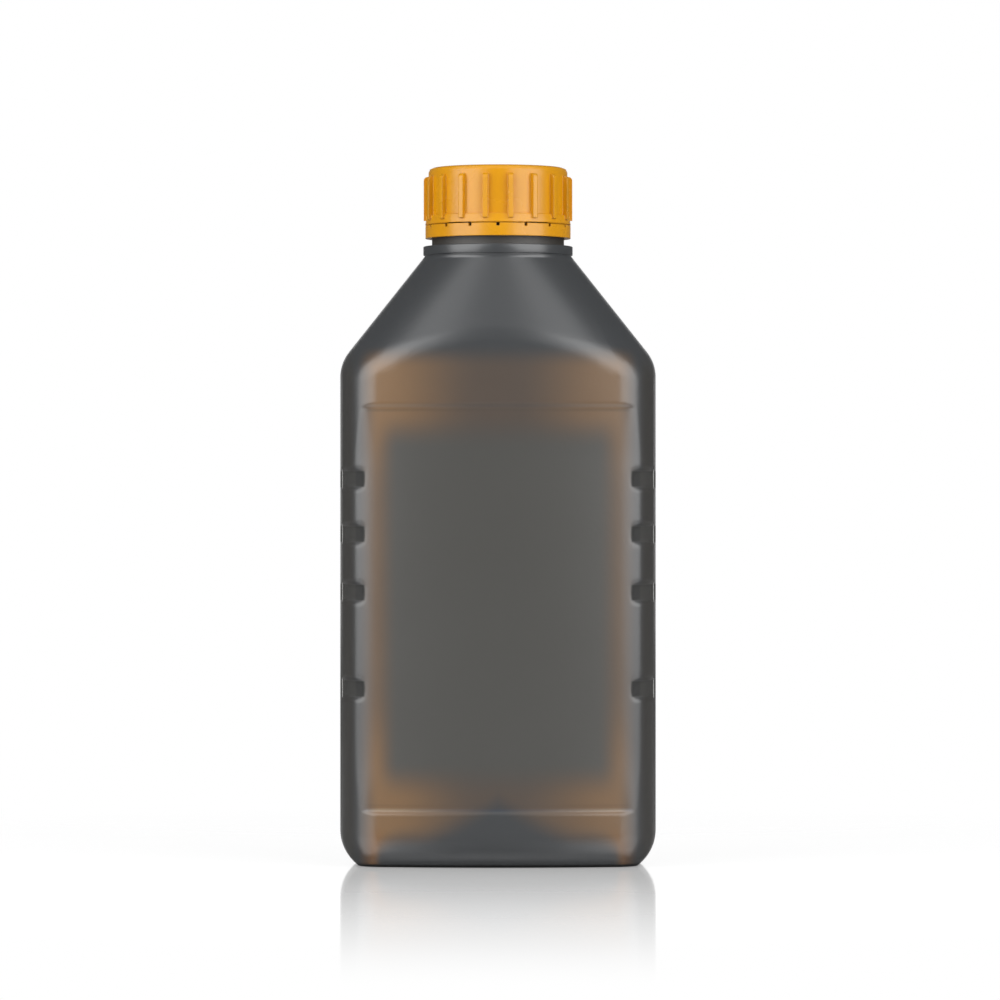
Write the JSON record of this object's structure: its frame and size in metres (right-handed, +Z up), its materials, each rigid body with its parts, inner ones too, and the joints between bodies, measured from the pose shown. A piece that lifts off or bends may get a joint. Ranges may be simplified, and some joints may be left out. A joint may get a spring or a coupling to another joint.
{
  "type": "motor oil bottle",
  "caption": "Blow-moulded oil bottle with crowned faces, recessed label panels, corner grip notches, a sloped shoulder and a ribbed screw cap over a tamper ring",
  "frame": {"origin": "centre of the bounding box's underside, on the surface that the bottle stands on", "axes": "+Z up along the neck's axis, X across the bottle's width, -Y out of the front panel"},
  "size_m": [0.105, 0.07, 0.2312],
  "materials": {
    "bottle_wall": "satin, slightly see-through",
    "cap_plastic": "satin",
    "liner_foam": "matt foam",
    "label_film": "satin film",
    "oil": "clear liquid"
  },
  "bodies": {
    "bottle": {"bottle": "bottle_wall", "oil": "oil", "tamper_ring": "cap_plastic", "back_label": "label_film"},
    "liner": {"cap_liner": "liner_foam"},
    "cap": {"cap": "cap_plastic"}
  },
  "joints": [
    {"name": "cap_lift", "type": "slide", "parent": "bottle", "child": "liner", "axis": [0, 0, 1], "range_m": [0, 0.03]},
    {"name": "cap_turn", "type": "hinge", "parent": "liner", "child": "cap", "pos_m": [0, 0, 0.22], "axis": [0, 0, 1], "range_deg": [0, 2700]}
  ],
  "couplings": [
    {"joint": "cap_turn", "follows": "cap_lift", "rad_per_m": 1570.8}
  ]
}
